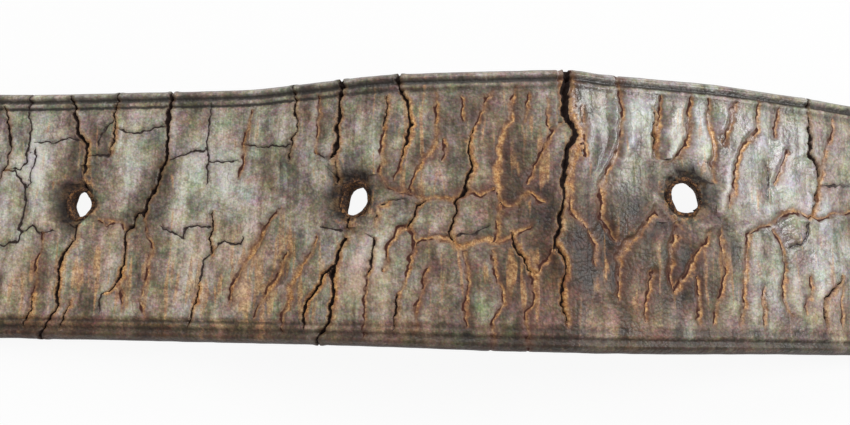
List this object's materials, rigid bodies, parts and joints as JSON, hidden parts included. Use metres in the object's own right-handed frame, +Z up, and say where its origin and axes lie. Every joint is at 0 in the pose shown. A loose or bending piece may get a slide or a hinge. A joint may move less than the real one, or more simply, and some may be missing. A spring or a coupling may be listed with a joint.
{
  "type": "leather strop",
  "caption": "Worn leather strap used as a strop: creased edges, punched holes, pointed tip, riveted fold round a roller buckle, a fixed keeper and a sliding keeper.",
  "frame": {"origin": "on the surface that the strop lies on, under the middle of its overall length and width", "axes": "+X along the strap from the buckle to the tip, +Y across it, +Z up from the surface to the grain side"},
  "size_m": [0.62, 0.058, 0.0216],
  "materials": {
    "strap_leather": "old, cracked and oiled, half matt",
    "keeper_leather": "worn, half matt",
    "buckle_steel": "dulled with age",
    "staple_steel": "dull",
    "rivet_copper": "hammered, brown with age"
  },
  "bodies": {
    "strap": {"strap": "strap_leather", "fixed_keeper": "keeper_leather", "fixed_keeper_staple": "staple_steel", "rivets": "rivet_copper", "rivet_burrs": "rivet_copper"},
    "buckle_frame": {"buckle_frame": "buckle_steel"},
    "buckle_roller": {"buckle_roller": "buckle_steel"},
    "buckle_prong": {"buckle_prong": "buckle_steel"},
    "sliding_keeper": {"sliding_keeper": "keeper_leather", "sliding_keeper_staple": "staple_steel"}
  },
  "joints": [
    {"name": "frame_swing", "type": "hinge", "parent": "strap", "child": "buckle_frame", "pos_m": [-0.27292, 0, 0.00535], "axis": [0, 1, 0], "range_deg": [-60, 60]},
    {"name": "prong_swing", "type": "hinge", "parent": "buckle_frame", "child": "buckle_prong", "pos_m": [-0.27292, 0, 0.00535], "axis": [0, 1, 0], "range_deg": [0, 95]},
    {"name": "roller_spin", "type": "hinge", "parent": "buckle_frame", "child": "buckle_roller", "pos_m": [-0.30685, 0, 0.0032], "axis": [0, 1, 0], "continuous": true},
    {"name": "keeper_slide", "type": "slide", "parent": "strap", "child": "sliding_keeper", "axis": [1, 0, 0], "range_m": [0, 0.06]}
  ]
}
